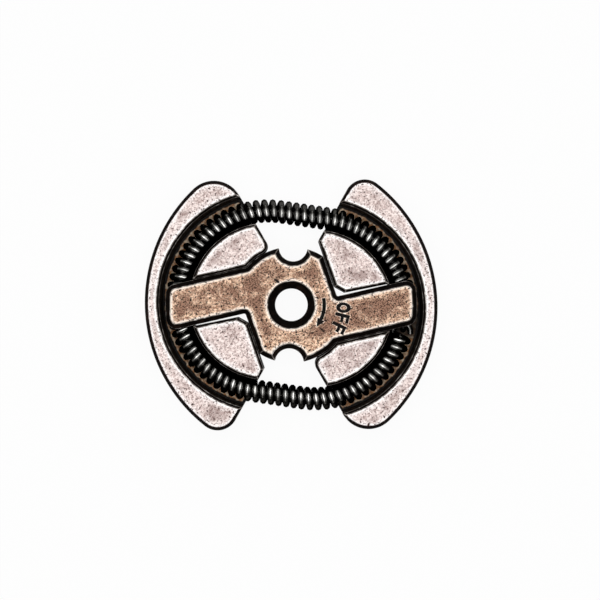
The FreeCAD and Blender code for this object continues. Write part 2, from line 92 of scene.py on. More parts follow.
class Wiring:
    """Short calls to lay nodes and wires in one node tree."""

    NUMBERS: ClassVar[tuple[str, ...]] = ("DOT_PRODUCT", "DISTANCE", "LENGTH")

    def __init__(self, tree: NodeTree) -> None:
        """Keeps the node tree that is to be filled."""
        self.tree = tree

    def feed(self, node: Node, feeds: dict[str | int, Any]) -> None:
        """Sets or wires a node's inputs.

        Args:
            node: The node.
            feeds: A value or a socket for each input, by name or number.
        """
        for key, value in feeds.items():
            if isinstance(value, Socket):
                self.tree.links.new(value, node.inputs[key])
            else:
                node.inputs[key].default_value = value

    def node(self, kind: str, feeds: dict[str | int, Any] | None = None, **settings: Any) -> Node:
        """Adds a node.

        Args:
            kind: The node's type name.
            feeds: A value or a socket for each input, by name or number.
            settings: The node's own properties.

        Returns:
            The new node.
        """
        made = self.tree.nodes.new(kind)
        for name, value in settings.items():
            setattr(made, name, value)
        self.feed(made, feeds or {})
        return made

    def group(self, tree: NodeTree, **feeds: Any) -> Socket:
        """Places a shared effect, with a value or a socket for each input, and returns its mask."""
        return self.node("ShaderNodeGroup", feeds, node_tree=tree).outputs["Mask"]

    def mix(self, factor: Any, first: Any, second: Any) -> Socket:
        """Mixes two colours or sockets, by the second one's share, and returns the mixed colour."""
        feeds = {0: factor, 6: opaque(first), 7: opaque(second)}
        return self.node("ShaderNodeMix", feeds, data_type="RGBA").outputs[2]

    def layers(self, base: Any, *layers: Layer) -> Socket:
        """Lays colours over each other.

        Args:
            base: The lowest colour.
            layers: The share and the colour of each layer, from the lowest up.

        Returns:
            The mixed colour's socket.
        """
        for share, colour in layers:
            base = self.mix(share, base, colour)
        return base

    def math(self, operation: str, *values: Any) -> Socket:
        """Adds a sum of numbers or sockets, by the Math node's operation, and returns its answer."""
        return self.node("ShaderNodeMath", dict(enumerate(values)), operation=operation).outputs[0]

    def vector(self, operation: str, *values: Any) -> Socket:
        """Adds a sum of vectors or sockets and returns its answer, for those in NUMBERS a number."""
        made = self.node("ShaderNodeVectorMath", dict(enumerate(values)), operation=operation)
        return made.outputs["Value" if operation in self.NUMBERS else "Vector"]

    def spread(self, value: Any, start: Any, end: Any, low: float = 0, high: float = 1) -> Socket:
        """Maps a value smoothly from the range start to end onto the range low to high."""
        feeds = {0: value, 1: start, 2: end, 3: low, 4: high}
        return self.node("ShaderNodeMapRange", feeds, interpolation_type="SMOOTHSTEP").outputs[0]

    def noise(self, place: Socket, size: Any, detail: Any, **more: Any) -> Socket:
        """Lays cloudy noise, its clouds of a size in the place's own units, and returns its value."""
        feeds = {"Vector": place, "Scale": self.math("DIVIDE", 1.0, size), "Detail": detail, **more}
        return self.node("ShaderNodeTexNoise", feeds).outputs[0]

    def bump(self, height: Socket, depth: float, strength: float = 1.0, over: Socket | None = None) -> Socket:
        """Dents a surface.

        Args:
            height: The height's socket, from 0 to 1.
            depth: The depth of a full height, in metres.
            strength: How much of the bump shows.
            over: The normal that the bump lies over, or None for the surface's own.

        Returns:
            The normal's socket.
        """
        made = self.node("ShaderNodeBump", {"Height": height, "Distance": depth, "Strength": strength})
        if over is not None:
            self.feed(made, {"Normal": over})
        return made.outputs[0]

    def attribute(self, name: str) -> Socket:
        """Returns the socket of a number that the mesh holds."""
        return self.node("ShaderNodeAttribute", attribute_name=name).outputs["Fac"]

    def split(self, place: Socket) -> bpy_prop_collection:
        """Returns the sockets of a vector's X, Y and Z."""
        return self.node("ShaderNodeSeparateXYZ", {0: place}).outputs

    def millimetres(self) -> Socket:
        """Returns the object coordinates' socket, in millimetres."""
        place = self.node("ShaderNodeTexCoord").outputs["Object"]
        return self.node("ShaderNodeMapping", {"Vector": place, "Scale": (PER_MM,) * 3}).outputs[0]

    def turned(self, place: Socket, angle: Any, centre: Any = (0, 0, 0)) -> Socket:
        """Turns a place about an upright axis, by an angle in radians."""
        feeds = {"Vector": place, "Center": centre, "Angle": angle}
        return self.node("ShaderNodeVectorRotate", feeds, rotation_type="Z_AXIS").outputs[0]

    def photo_height(self, place: Socket) -> Socket:
        """Measures how far a place or a direction lies towards the head of the photograph."""
        return self.vector("DOT_PRODUCT", place, (math.sin(PHOTO_TURN), math.cos(PHOTO_TURN), 0))

    def groove_distance(self, place: Socket) -> Socket:
        """Measures how far a place lies from the middle of the groove on its side of the bore.

        Args:
            place: The place's socket, in millimetres.

        Returns:
            The distance's socket, in millimetres.
        """
        side = self.math("SIGN", self.split(place)["X"])
        flat = self.vector("MULTIPLY", self.vector("MULTIPLY", place, side), (1, 1, 0))
        return self.vector("DISTANCE", flat, GROOVE_CENTRE * PER_MM)


def opaque(colour: Any) -> Any:
    """Returns a colour with its alpha, or a socket as it is."""
    return colour if isinstance(colour, Socket) else (*colour, 1)


def from_screen(red: int, green: int, blue: int) -> Colour:
    """Turns a colour on screen, its parts from 0 to 255, into linear light by the sRGB curve."""
    return tuple((part / 255 / 12.92) if part < 11 else ((part / 255 + 0.055) / 1.055) ** 2.4
                 for part in (red, green, blue))


class Effects:
    """The shared shader groups, each built once, with sizes in millimetres."""

    SPECKLE_ROUGHNESS: ClassVar[float] = 0.6
    SPECKLE_DISTORTION: ClassVar[float] = 0.3
    BAND_DETAIL: ClassVar[float] = 2.0
    NOISE_MEAN: ClassVar[float] = 0.5
    SPOT_FULL: ClassVar[float] = 0.6
    GRIND_TURN: ClassVar[float] = math.radians(38)
    GRIND_DETAIL: ClassVar[float] = 3.0
    GRIND_UPWARD: ClassVar[float] = 0.2
    GRIND_LEVELS: ClassVar[tuple[float, float]] = (0.35, 0.7)

    @staticmethod
    def start(name: str, vectors: tuple[str, ...], numbers: tuple[str, ...]) -> tuple[Wiring, Any]:
        """Opens a new group with one Mask output.

        Args:
            name: The group's name.
            vectors: The names of the inputs that take a vector.
            numbers: The names of the inputs that take a number.

        Returns:
            The group's wiring and the sockets of its inputs.
        """
        tree = bpy.data.node_groups.new(name, "ShaderNodeTree")
        kinds = {**dict.fromkeys(vectors, "NodeSocketVector"), **dict.fromkeys(numbers, "NodeSocketFloat")}
        for label, kind in kinds.items():
            tree.interface.new_socket(label, in_out="INPUT", socket_type=kind)
        tree.interface.new_socket("Mask", in_out="OUTPUT", socket_type="NodeSocketFloat")
        wiring = Wiring(tree)
        return wiring, wiring.node("NodeGroupInput").outputs

    @staticmethod
    def close(wiring: Wiring, mask: Socket) -> NodeTree:
        """Sends a mask out of its group and returns the group."""
        wiring.node("NodeGroupOutput", {"Mask": mask})
        return wiring.tree

    @classmethod
    @cache
    def speckle(cls) -> NodeTree:
        """Makes pores, stain and rust: noise of one size, cut at a level.

        Returns:
            The group.
        """
        wiring, given = cls.start("speckle", ("Place",), ("Size", "Detail", "Level", "Softness"))
        noise = wiring.noise(given["Place"], given["Size"], given["Detail"],
                             Roughness=cls.SPECKLE_ROUGHNESS, Distortion=cls.SPECKLE_DISTORTION)
        top = wiring.math("ADD", given["Level"], given["Softness"])
        return cls.close(wiring, wiring.spread(noise, given["Level"], top))

    @classmethod
    @cache
    def rim_wear(cls) -> NodeTree:
        """Makes a ragged band along a flat face's edge.

        Returns:
            The group.
        """
        wiring, given = cls.start("rim_wear", ("Place",), ("Size", "Unevenness", "From", "To"))
        noise = wiring.noise(given["Place"], given["Size"], cls.BAND_DETAIL)
        ragged = wiring.math("MULTIPLY", wiring.math("SUBTRACT", noise, cls.NOISE_MEAN), given["Unevenness"])
        gap = wiring.math("ADD", wiring.attribute(SinteredPiece.GAP), ragged)
        return cls.close(wiring, wiring.spread(gap, given["From"], given["To"], 1, 0))

    @classmethod
    @cache
    def spot(cls) -> NodeTree:
        """Makes one oval spot.

        Returns:
            The group.
        """
        wiring, given = cls.start("spot", ("Place", "Centre", "Reach"), ("Turn",))
        back = wiring.math("MULTIPLY", given["Turn"], -1.0)
        turned = wiring.turned(given["Place"], back, given["Centre"])
        share = wiring.vector("DIVIDE", wiring.vector("SUBTRACT", turned, given["Centre"]), given["Reach"])
        return cls.close(wiring, wiring.spread(wiring.vector("LENGTH", share), cls.SPOT_FULL, 1.0, 1, 0))

    @classmethod
    @cache
    def grind_lines(cls) -> NodeTree:
        """Makes the fine lines that a face grinder leaves.

        Returns:
            The group.
        """
        wiring, given = cls.start("grind_lines", ("Place",), ("Width", "Length"))
        along, across = [wiring.math("DIVIDE", 1.0, given[name]) for name in ("Length", "Width")]
        scale = wiring.node("ShaderNodeCombineXYZ", {0: along, 1: across, 2: cls.GRIND_UPWARD}).outputs[0]
        drawn = wiring.vector("MULTIPLY", wiring.turned(given["Place"], cls.GRIND_TURN), scale)
        noise = wiring.noise(drawn, 1.0, cls.GRIND_DETAIL)
        return cls.close(wiring, wiring.spread(noise, *cls.GRIND_LEVELS))


@dataclass(frozen=True)
class Speckle:
    """Noise cut at a level: its grain in millimetres, its detail, its level and how softly it is cut."""

    size: float
    detail: float
    level: float
    softness: float

    def mask(self, wiring: Wiring, place: Socket, level: Socket | None = None) -> Socket:
        """Lays the speckle over places in millimetres, at its own level or at one that changes."""
        return wiring.group(Effects.speckle(), Place=place, Size=self.size, Detail=self.detail,
                            Level=self.level if level is None else level, Softness=self.softness)


@dataclass(frozen=True)
class Band:
    """A ragged band along an edge, in millimetres: its waves' size and height, its full width and its end."""

    size: float
    unevenness: float
    full_to: float
    end: float

    def mask(self, wiring: Wiring, place: Socket) -> Socket:
        """Lays the band over places in millimetres and returns its mask."""
        return wiring.group(Effects.rim_wear(), Place=place, Size=self.size, Unevenness=self.unevenness,
                            From=self.full_to, To=self.end)


@dataclass(frozen=True)
class Spot:
    """An oval spot, such as a nick or spilt oil: its place and size in millimetres, its turn in degrees."""

    x: float
    y: float
    turn: float
    length: float
    width: float
    z: float = THICKNESS * PER_MM
    height: float = 2.0

    def mask(self, wiring: Wiring, place: Socket) -> Socket:
        """Lays the spot over places in millimetres and returns its mask."""
        reach = (self.length / 2, self.width / 2, self.height / 2)
        return wiring.group(Effects.spot(), Place=place, Centre=(self.x, self.y, self.z),
                            Turn=math.radians(self.turn), Reach=reach)


@dataclass(frozen=True)
class Finish:
    """A finish with one Principled shader."""

    name: str
    roughness: float
    metallic: float
    specular: float

    def shader(self) -> tuple[Material, Wiring, Node]:
        """Starts the material.

        Returns:
            The material, its wiring and its Principled shader.
        """
        material = bpy.data.materials.new(self.name)
        material.use_nodes = True
        wiring = Wiring(material.node_tree)
        principled = material.node_tree.nodes["Principled BSDF"]
        wiring.feed(principled, {"Roughness": self.roughness, "Metallic": self.metallic,
                                 "Specular IOR Level": self.specular})
        return material, wiring, principled


@dataclass(frozen=True)
class GroundFace(Finish):
    """Sintered iron ground bright: open pores, oil stain in its middle, a pale rubbed edge and a thin band of
    painted shade along a rim's edges.
    """

    light: Colour
    mottle: Colour
    stain: Colour
    pore: Colour
    pit: Colour
    rim: Colour
    mottling: Speckle
    staining: Speckle
    stain_shift: float
    foot_thinning: float
    pores: Speckle
    bare_pores: float
    pits: Speckle
    halo: Band
    halo_share: float
    rub: Band
    rim_share: float
    edge_shade: Band
    nicks: tuple[Spot, ...]

    FOOT: ClassVar[tuple[float, float]] = (-10.0, -3.0)
    PORE_ROUGHNESS: ClassVar[float] = 0.25
    PORE_DEPTH: ClassVar[float] = 0.03 * MM
    PORE_BUMP: ClassVar[float] = 0.5
    LINE_WIDTH: ClassVar[float] = 0.12
    LINE_LENGTH: ClassVar[float] = 6.0
    LINE_SHARE: ClassVar[float] = 0.12

    def material(self) -> Material:
        """Builds the material.

        Returns:
            The material.
        """
        material, wiring, principled = self.shader()
        place = wiring.millimetres()
        halo = self.halo.mask(wiring, place)
        rim = self.rub.mask(wiring, place)
        stain = self.stained(wiring, place, wiring.math("SUBTRACT", 1.0, halo))
        open_share = wiring.spread(stain, 0.0, 1.0, self.bare_pores, 1.0)
        pores = wiring.math("MULTIPLY", self.pores.mask(wiring, place), open_share)
        pits = self.pits.mask(wiring, place)
        for nick in self.nicks:
            pits = wiring.math("MAXIMUM", pits, nick.mask(wiring, place))
        # Painted shade: a thin dark band, in the pits' colour, along the edges of a shoe's rim.
        on_rim = wiring.spread(wiring.groove_distance(place), *RIM_INSIDE)
        edge_shade = wiring.math("MULTIPLY", self.edge_shade.mask(wiring, place), on_rim)
        colour = wiring.layers(
            self.light,
            (self.mottling.mask(wiring, place), self.mottle),
            (stain, self.stain),
            (wiring.math("MULTIPLY", halo, self.halo_share), self.rim),
            (pores, self.pore),
            (wiring.math("MULTIPLY", rim, self.rim_share), self.rim),
            (wiring.math("MAXIMUM", pits, edge_shade), self.pit),
        )
        holes = wiring.math("MAXIMUM", pores, pits)
        rough = wiring.spread(holes, 0.0, 1.0, self.roughness, self.roughness + self.PORE_ROUGHNESS)
        lines = wiring.group(Effects.grind_lines(), Place=place, Width=self.LINE_WIDTH,
                             Length=self.LINE_LENGTH)
        height = wiring.math("SUBTRACT", wiring.math("MULTIPLY", lines, self.LINE_SHARE), holes)
        normal = wiring.bump(height, self.PORE_DEPTH, self.PORE_BUMP)
        wiring.feed(principled, {"Base Color": colour, "Roughness": rough, "Normal": normal})
        return material

    def stained(self, wiring: Wiring, place: Socket, middle: Socket) -> Socket:
        """Lays the oil stain, thinner towards the foot of the photograph and none at the edges.

        Args:
            wiring: The material's wiring.
            place: The place's socket, in millimetres.
            middle: The share of stain that a place can hold.

        Returns:
            The stain's mask.
        """
        thinned_level = self.staining.level + self.foot_thinning
        level = wiring.spread(wiring.photo_height(place), *self.FOOT, thinned_level, self.staining.level)
        shifted = wiring.vector("ADD", place, (self.stain_shift,) * 3)
        return wiring.math("MULTIPLY", self.staining.mask(wiring, shifted, level), middle)


@dataclass(frozen=True)
class SinteredSkin(Finish):
    """Sintered iron that was never ground: a fine grain and two tones in patches."""

    dark: Colour
    pale: Colour
    patches: Speckle

    GRAIN: ClassVar[Speckle] = Speckle(0.3, 2.0, 0.45, 0.2)
    GRAIN_ROUGHNESS: ClassVar[float] = 0.2
    GRAIN_DEPTH: ClassVar[float] = 0.03 * MM
    GRAIN_BUMP: ClassVar[float] = 0.4

    def material(self) -> Material:
        """Builds the material.

        Returns:
            The material.
        """
        material, wiring, principled = self.shader()
        place = wiring.millimetres()
        patches = self.patches.mask(wiring, place)
        grain = self.GRAIN.mask(wiring, place)
        colour = wiring.layers(self.dark, (patches, self.pale), *self.weather_and_shade(wiring, place, patches))
        rough = wiring.spread(grain, 0.0, 1.0, self.roughness, self.roughness + self.GRAIN_ROUGHNESS)
        normal = wiring.bump(grain, self.GRAIN_DEPTH, self.GRAIN_BUMP)
        wiring.feed(principled, {"Base Color": colour, "Roughness": rough, "Normal": normal})
        return material

    def weather_and_shade(self, wiring: Wiring, place: Socket, patches: Socket) -> list[Layer]:
        """Returns the layers of dirt, rust and painted shade over the skin: none, unless a finish has its own
        method.
        """
        return []


@dataclass(frozen=True)
class DarkWallAndShade(SinteredSkin):
    """Near-black wall, partly its own dark skin and partly painted shade, greyer and rust-brown where it
    faces away from the bore.
    """

    grey: Colour
    rust: Colour

    FACING_OUT: ClassVar[tuple[float, float]] = (0.1, 0.8)

    def weather_and_shade(self, wiring: Wiring, place: Socket, patches: Socket) -> list[Layer]:
        """Returns one layer, which is grey with rust in the skin's patches."""
        outside = wiring.spread(wiring.attribute(SinteredPiece.FACING), *self.FACING_OUT)
        return [(outside, wiring.mix(patches, self.grey, self.rust))]


@dataclass(frozen=True)
class RustyFloor(SinteredSkin):
    """Rusty floor of the spring's groove, with painted shade along its walls and inside the coils, and a dark
    spot that is partly spilt oil and partly painted shade.
    """

    grime_and_shade: Colour
    walls: Band
    oil_and_shade_spot: Spot
    oil_and_shade_share: float

    def weather_and_shade(self, wiring: Wiring, place: Socket, patches: Socket) -> list[Layer]:
        """Lays the painted shade along the walls and inside the coils, and the spot of oil and painted shade.

        Args:
            wiring: The material's wiring.
            place: The place's socket, in millimetres.
            patches: The mask of the skin's patches; not used.

        Returns:
            Two layers.
        """
        # Painted shade: near-black along the groove's walls and inside the coils, and a spot that is partly
        # oil and partly painted shade.
        inner = wiring.spread(wiring.groove_distance(place), *COIL_INSIDE, 1, 0)
        floor_shade = wiring.math("MAXIMUM", self.walls.mask(wiring, place), inner)
        oil_and_shade = wiring.math("MULTIPLY", self.oil_and_shade_spot.mask(wiring, place), self.oil_and_shade_share)
        return [(floor_shade, self.grime_and_shade), (oil_and_shade, self.grime_and_shade)]


@dataclass(frozen=True)
class DrumRubbed(Finish):
    """Friction face, rubbed grey by the drum in its middle and scored along the way it turns."""

    steel: Colour
    scored: Colour
    black: Colour
    scores: Speckle
    score_length: float
    patches: Speckle
    least_rubbed: float
    border: float
    arc_from: float
    arc_to: float
    arc_fade: float

    SCORE_DEPTH: ClassVar[float] = 0.02 * MM
    SCORE_BUMP: ClassVar[float] = 0.5
    MASK_MIDDLE: ClassVar[float] = 0.5

    def material(self) -> Material:
        """Builds the material.

        Returns:
            The material.
        """
        material, wiring, principled = self.shader()
        place = wiring.millimetres()
        stretch = self.scores.size / self.score_length
        scores = self.scores.mask(wiring, wiring.vector("MULTIPLY", place, (stretch, stretch, 1.0)))
        rubbed = wiring.spread(self.patches.mask(wiring, place), 0.0, 1.0, 1.0, self.least_rubbed)
        for fade in self.fades(wiring, place, scores):
            rubbed = wiring.math("MULTIPLY", rubbed, fade)
        colour = wiring.mix(rubbed, self.black, wiring.mix(scores, self.steel, self.scored))
        normal = wiring.bump(scores, self.SCORE_DEPTH, self.SCORE_BUMP)
        wiring.feed(principled, {"Base Color": colour, "Normal": normal})
        return material

    def fades(self, wiring: Wiring, place: Socket, scores: Socket) -> list[Socket]:
        """Lays the masks that fall to nothing towards the four sides of the friction face.

        Args:
            wiring: The material's wiring.
            place: The place's socket, in millimetres.
            scores: The mask of the score lines, which makes the fading ragged.

        Returns:
            The masks' sockets.
        """
        split = wiring.split(place)
        ragged = wiring.math("SUBTRACT", scores, self.MASK_MIDDLE)
        height = wiring.math("ADD", split["Z"], wiring.math("MULTIPLY", ragged, self.border))
        across = wiring.math("MULTIPLY", split["Y"], wiring.math("SIGN", split["X"]))
        along = wiring.math("ADD", wiring.math("ABSOLUTE", split["X"]), SLIDE * PER_MM)
        wander = wiring.math("MULTIPLY", ragged, self.arc_fade)
        turn = wiring.math("ADD", wiring.math("ARCTAN2", across, along), wander)
        top = THICKNESS * PER_MM
        return [
            wiring.spread(height, self.border / 2, self.border * 2),
            wiring.spread(height, top - self.border * 2, top - self.border / 2, 1, 0),
            wiring.spread(turn, self.arc_from, self.arc_from + self.arc_fade),
            wiring.spread(turn, self.arc_to - self.arc_fade, self.arc_to, 1, 0),
        ]


@dataclass(frozen=True)
class SpringSteel(Finish):
    """Oiled spring wire with painted light: a painted sheen outside its coils on one side of the loop, a
    painted highlight just inside their crest, then painted shade.

    The turns are degrees round the coil, inwards from its top.
    """

    # The first colour is a painted sheen, the third a painted highlight and the fourth painted shade; the
    # second is the wire's own oiled tone.
    sheen_grey: Colour
    oiled: Colour
    rubbed: Colour
    black: Colour
    sheen_end: float
    highlight_from: float
    highlight_full: float
    inner_shade_from: float
    inner_shade_end: float
    hook_highlight_share: float
    flat_depth: float
    sheen_towards_head: tuple[float, float]
    patches: Speckle
    least_rubbed: float
    grain: Speckle

    OIL_ROUGHNESS: ClassVar[float] = 0.06
    FLAT_POWER: ClassVar[float] = 2.0
    GRAIN_DEPTH: ClassVar[float] = 0.004 * MM
    GRAIN_BUMP: ClassVar[float] = 0.2

    @property
    def hook_highlight_turn(self) -> float:
        """Returns the turn whose finish the hooks take, which carries a little of the painted highlight."""
        return self.highlight_from + (self.highlight_full - self.highlight_from) * self.hook_highlight_share

    def material(self) -> Material:
        """Builds the material.

        Returns:
            The material.
        """
        material, wiring, principled = self.shader()
        place = wiring.millimetres()
        turn = wiring.attribute(SpringLoop.CREST)
        patches = self.patches.mask(wiring, place)
        # Painted light: the bright colour just inside the crest is a painted highlight, the grey outside the
        # crest a painted sheen and the black further in painted shade.
        crest = wiring.spread(turn, self.highlight_from, self.highlight_full)
        rubbed = wiring.math("MULTIPLY", crest, wiring.spread(patches, 0.0, 1.0, self.least_rubbed, 1.0))
        colour = wiring.layers(
            self.oiled,
            (wiring.spread(wiring.photo_height(place), *self.sheen_towards_head), self.sheen_grey),
            (wiring.spread(turn, self.sheen_end, self.highlight_from), self.oiled),
            (rubbed, self.rubbed),
            (wiring.spread(turn, self.inner_shade_from, self.inner_shade_end), self.black),
        )
        rough = wiring.spread(patches, 0.0, 1.0, self.roughness + self.OIL_ROUGHNESS, self.roughness)
        off_crest = wiring.spread(wiring.math("ABSOLUTE", turn), 0.0, self.inner_shade_end)
        flat = wiring.bump(wiring.math("POWER", off_crest, self.FLAT_POWER), self.flat_depth)
        normal = wiring.bump(self.grain.mask(wiring, place), self.GRAIN_DEPTH, self.GRAIN_BUMP, over=flat)
        wiring.feed(principled, {"Base Color": colour, "Roughness": rough, "Normal": normal,
                                 "Specular Tint": opaque(self.sheen_grey)})
        return material


SHOE_FACE = GroundFace(
    "shoe_ground_face", roughness=0.5, metallic=0.3, specular=0.4,
    light=from_screen(234, 219, 214), mottle=from_screen(198, 177, 172), stain=from_screen(168, 147, 142),
    pore=from_screen(132, 106, 100), pit=from_screen(66, 44, 40), rim=from_screen(248, 245, 244),
    mottling=Speckle(0.6, 4.0, 0.42, 0.18), staining=Speckle(4.2, 5.0, 0.44, 0.24), stain_shift=0.0,
    foot_thinning=0.0, pores=Speckle(0.3, 2.0, 0.5, 0.16), bare_pores=0.6,
    pits=Speckle(0.5, 2.0, 0.605, 0.05), halo=Band(2.0, 3.0, 0.2, 1.8), halo_share=0.35,
    rub=Band(0.7, 0.7, 0.2, 0.75), rim_share=0.8, edge_shade=Band(0.5, 0.2, 0.15, 0.3),
    nicks=(Spot(10.1, -28.3, 60.0, 1.6, 0.6),),
)
HUB_FACE = GroundFace(
    "hub_ground_face", roughness=0.5, metallic=0.3, specular=0.4,
    light=from_screen(250, 215, 184), mottle=from_screen(172, 129, 102), stain=from_screen(158, 117, 94),
    pore=from_screen(38, 20, 15), pit=from_screen(26, 14, 11), rim=from_screen(251, 237, 224),
    mottling=Speckle(0.6, 4.0, 0.42, 0.18), staining=Speckle(4.2, 5.0, 0.33, 0.24), stain_shift=55.0,
    foot_thinning=0.12, pores=Speckle(0.25, 2.0, 0.45, 0.16), bare_pores=0.5,
    pits=Speckle(0.5, 2.0, 0.572, 0.05), halo=Band(2.0, 3.0, 0.2, 1.9), halo_share=0.0,
    rub=Band(0.7, 0.7, 0.2, 0.75), rim_share=0.85, edge_shade=Band(0.5, 0.2, 0.01, 0.02),
    nicks=(Spot(-1.77, 5.56, -51.0, 1.6, 0.75), Spot(5.2, -6.6, -56.0, 2.0, 0.4)),
)
# The walls' near-black is partly the skin's own dark tone and partly painted shade.
DARK_WALL_AND_SHADE = DarkWallAndShade(
    "dark_wall_and_painted_shade", roughness=0.55, metallic=0.0, specular=0.05,
    dark=from_screen(8, 5, 4), pale=from_screen(30, 20, 15), patches=Speckle(1.6, 4.0, 0.48, 0.25),
    grey=from_screen(46, 40, 37), rust=from_screen(92, 72, 58),
)
# The groove floor's near-black along its walls and inside the coils is painted shade; the spot by the hooks
# is partly oil and partly painted shade.
GROOVE_FLOOR = RustyFloor(
    "rusty_groove_floor", roughness=0.7, metallic=0.0, specular=0.3,
    dark=from_screen(196, 138, 92), pale=from_screen(255, 234, 206), patches=Speckle(1.0, 4.0, 0.4, 0.25),
    grime_and_shade=from_screen(14, 9, 7), walls=Band(1.2, 0.8, 0.5, 0.8),
    oil_and_shade_spot=Spot(23.1, -9.0, 69.0, 9.0, 13.0, z=0.0, height=200.0), oil_and_shade_share=0.9,
)
# The pale edge finish is partly wear and partly a painted glint along the softened edges.
WORN_EDGE_AND_GLINT = SinteredSkin(
    "worn_edge_and_glint", roughness=0.4, metallic=0.3, specular=0.4,
    dark=from_screen(100, 92, 86), pale=from_screen(232, 226, 220), patches=Speckle(1.6, 4.0, 0.46, 0.25),
)
STAMPED_MARK = SinteredSkin(
    "stamped_mark", roughness=0.6, metallic=0.0, specular=0.12,
    dark=from_screen(8, 5, 4), pale=from_screen(26, 17, 13), patches=Speckle(1.6, 4.0, 0.5, 0.25),
)
DRUM_FACE = DrumRubbed(
    "drum_rubbed_face", roughness=0.42, metallic=0.7, specular=0.4,
    steel=from_screen(128, 119, 111), scored=from_screen(66, 58, 52), black=from_screen(20, 15, 13),
    scores=Speckle(0.22, 4.0, 0.5, 0.18), score_length=7.0, patches=Speckle(2.2, 5.0, 0.5, 0.25),
    least_rubbed=0.6, border=0.7,
    arc_from=math.radians(-59), arc_to=math.radians(38), arc_fade=math.radians(12),
)
# The spring wire's bright crest colour is a painted highlight, its grey outer sheen is painted, and its black
# inner side is painted shade.
SPRING_WIRE = SpringSteel(
    "blackened_spring_wire", roughness=0.21, metallic=1.0, specular=0.5,
    sheen_grey=from_screen(72, 71, 69), oiled=from_screen(42, 41, 39), rubbed=from_screen(168, 167, 164),
    black=from_screen(20, 19, 18), sheen_end=-34.0, highlight_from=-18.0, highlight_full=2.0, inner_shade_from=10.0,
    inner_shade_end=34.0, hook_highlight_share=0.25, flat_depth=0.3 * MM, sheen_towards_head=(-14.0, 6.0),
    patches=Speckle(2.2, 4.0, 0.4, 0.2), least_rubbed=0.5, grain=Speckle(0.25, 2.0, 0.4, 0.3),
)


def pick(obj: Object) -> None:
    """Makes an object the only selected one and the active one.

    Args:
        obj: The object.
    """
    bpy.ops.object.select_all(action="DESELECT")
    obj.select_set(True)
    bpy.context.view_layer.objects.active = obj


@contextmanager
def editing(obj: Object) -> Iterator[None]:
    """Opens edit mode on an object with all of its faces selected.

    Args:
        obj: The mesh object.

    Yields:
        Nothing, while edit mode is open.
    """
    pick(obj)
    bpy.context.tool_settings.mesh_select_mode = (False, False, True)
    bpy.ops.object.mode_set(mode="EDIT")
    bpy.ops.mesh.select_all(action="SELECT")
    yield
    bpy.ops.object.mode_set(mode="OBJECT")


def apply_modifier(obj: Object, kind: str, **settings: Any) -> None:
    """Adds a modifier and applies it.

    Args:
        obj: The object.
        kind: The modifier's type name.
        settings: The modifier's properties.
    """
    pick(obj)
    modifier = obj.modifiers.new(kind.lower(), kind)
    for name, value in settings.items():
        setattr(modifier, name, value)
    bpy.ops.object.modifier_apply(modifier=modifier.name)


def settle(obj: Object) -> None:
    """Puts an object's place into its mesh."""
    pick(obj)
    bpy.ops.object.transform_apply(location=True, rotation=True, scale=True)


def to_mesh(obj: Object) -> Object:
    """Makes a curve or a text a mesh.

    Args:
        obj: The curve or the text.

    Returns:
        The mesh object.
    """
    pick(obj)
    bpy.ops.object.convert(target="MESH")
    return bpy.context.object


def draw_curve(kind: str, runs: list[list[Vector]]) -> Object:
    """Draws one spline through each run of points.

    Args:
        kind: The splines' type name.
        runs: The points of each run.

    Returns:
        The curve.
    """
    bpy.ops.object.select_all(action="DESELECT")
    bpy.ops.curve.primitive_nurbs_path_add()
    curve = bpy.context.object
    curve.data.splines.clear()
    for run in runs:
        spline = curve.data.splines.new(kind)
        spline.points.add(len(run) - 1)
        for knot, point in zip(spline.points, run):
            knot.co = (*point, 1)
    return curve


def cut(obj: Object, tool: Object) -> None:
    """Cuts a closed tool's shape and material into an object, and deletes the tool."""
    apply_modifier(obj, "BOOLEAN", operation="DIFFERENCE", object=tool, solver="EXACT",
                   material_mode="TRANSFER")
    bpy.data.objects.remove(tool)


